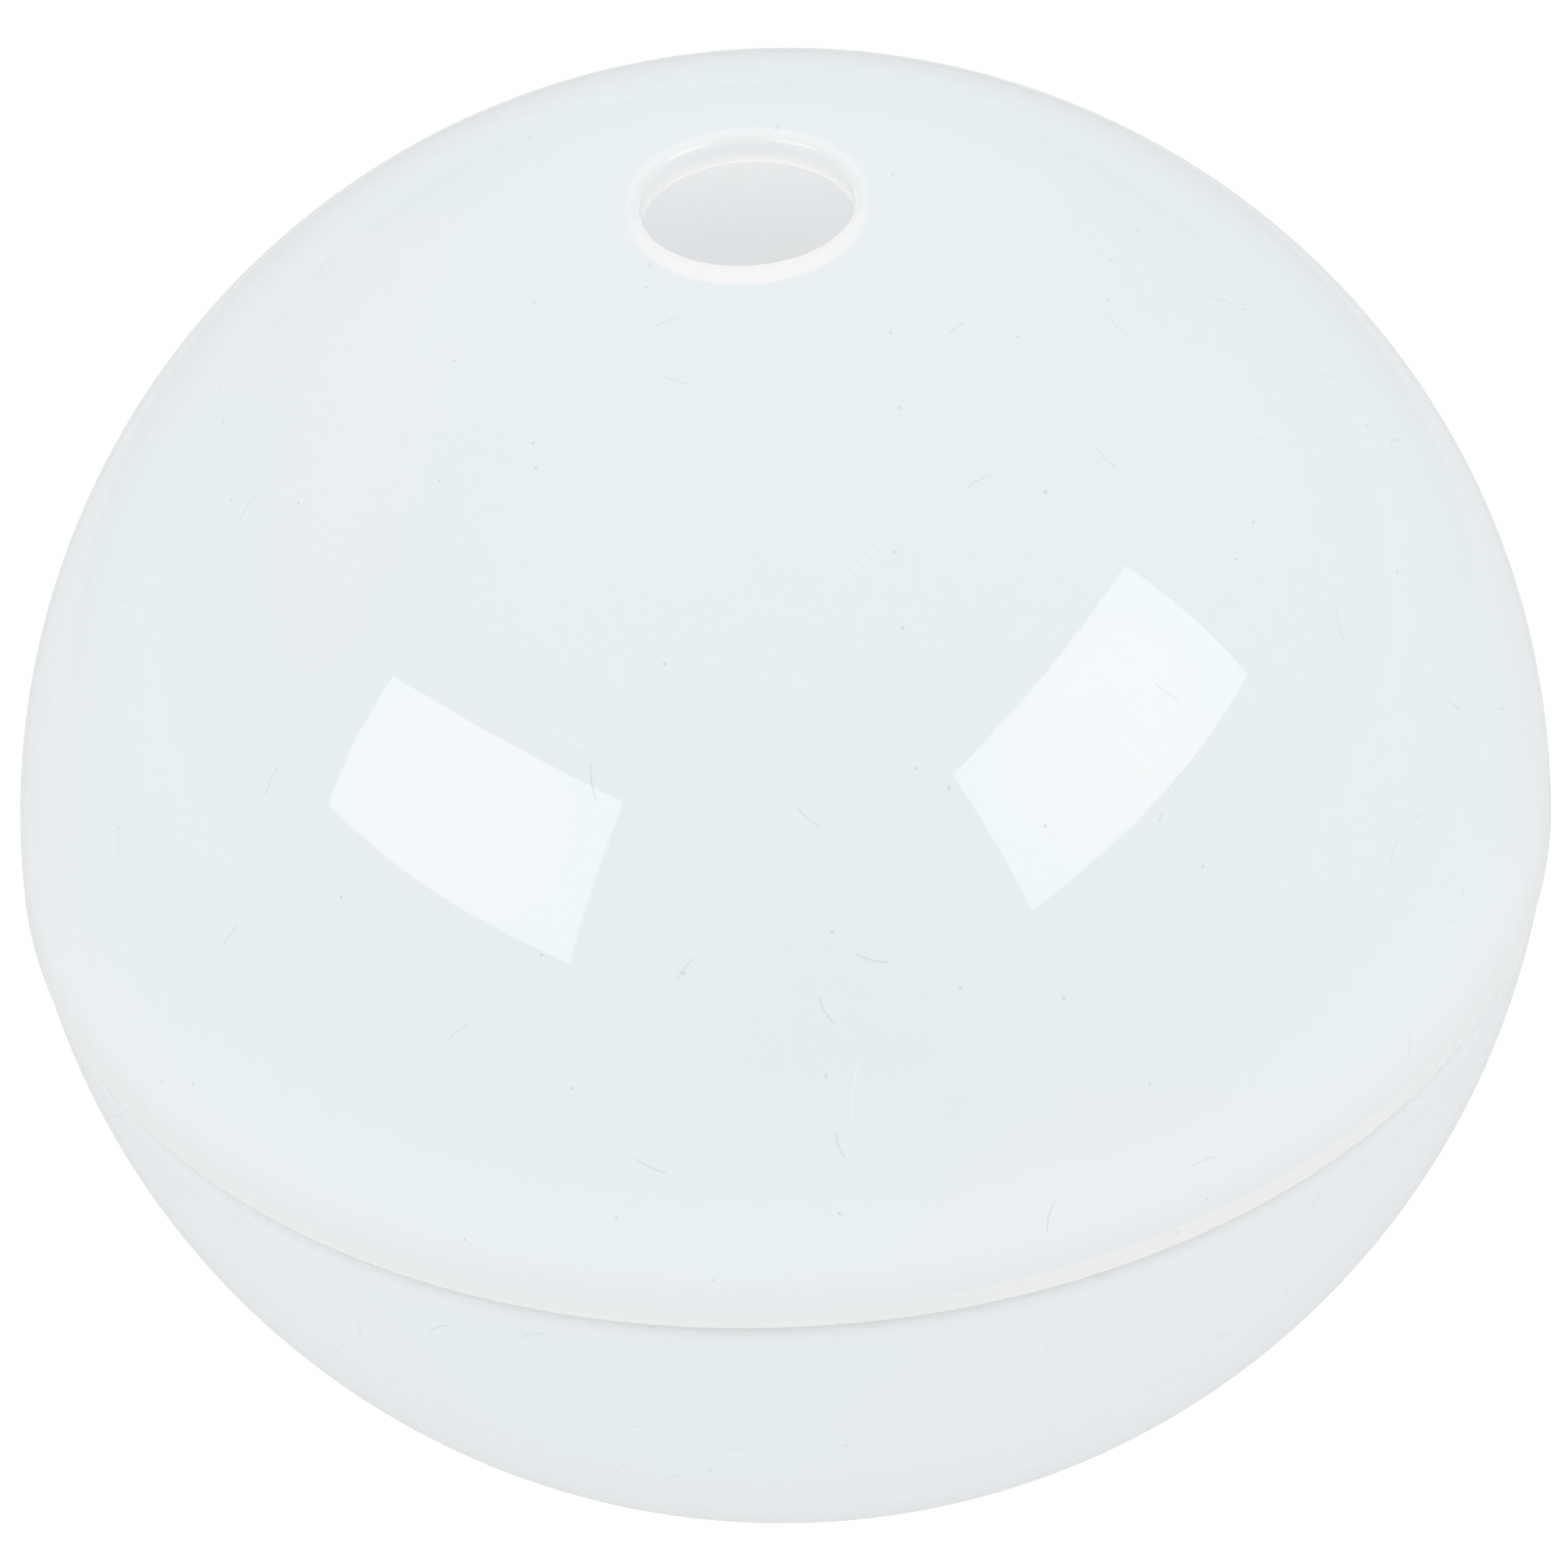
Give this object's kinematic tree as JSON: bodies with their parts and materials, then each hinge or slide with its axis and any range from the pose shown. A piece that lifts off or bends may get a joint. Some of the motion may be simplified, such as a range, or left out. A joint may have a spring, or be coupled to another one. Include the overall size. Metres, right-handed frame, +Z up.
{
  "type": "fence post cap",
  "caption": "Ball-shaped fence post cap: two glossy white shells that meet at a rim around the middle, a round hole at the crown, and a socket with a centre screw inside.",
  "frame": {"origin": "centre of the base shell's flat foot, on the axis of the post", "axes": "+Z up along the post's axis, through the crown hole; X and Y are equal, because the shells are round"},
  "size_m": [0.1, 0.1, 0.0844],
  "materials": {
    "opal_shell": "glossy, slightly translucent, white with a faint blue-green cast",
    "socket_plastic": "matte moulded, pale grey",
    "grip_rubber": "matte black",
    "seal_silicone": "satin white silicone",
    "screw_steel": "bright stainless"
  },
  "bodies": {
    "base": {"base_shell": "opal_shell", "rim_seal_ring": "seal_silicone", "post_socket": "socket_plastic", "socket_nut": "socket_plastic", "grip_ring_lower": "grip_rubber", "grip_ring_upper": "grip_rubber", "sealing_washer": "grip_rubber", "steel_washer": "screw_steel", "fixing_screw": "screw_steel"},
    "crown": {"crown_shell": "opal_shell"}
  },
  "joints": [
    {"name": "crown_lift", "type": "slide", "parent": "base", "child": "crown", "axis": [0, 0, 1], "range_m": [0, 0.03]}
  ]
}
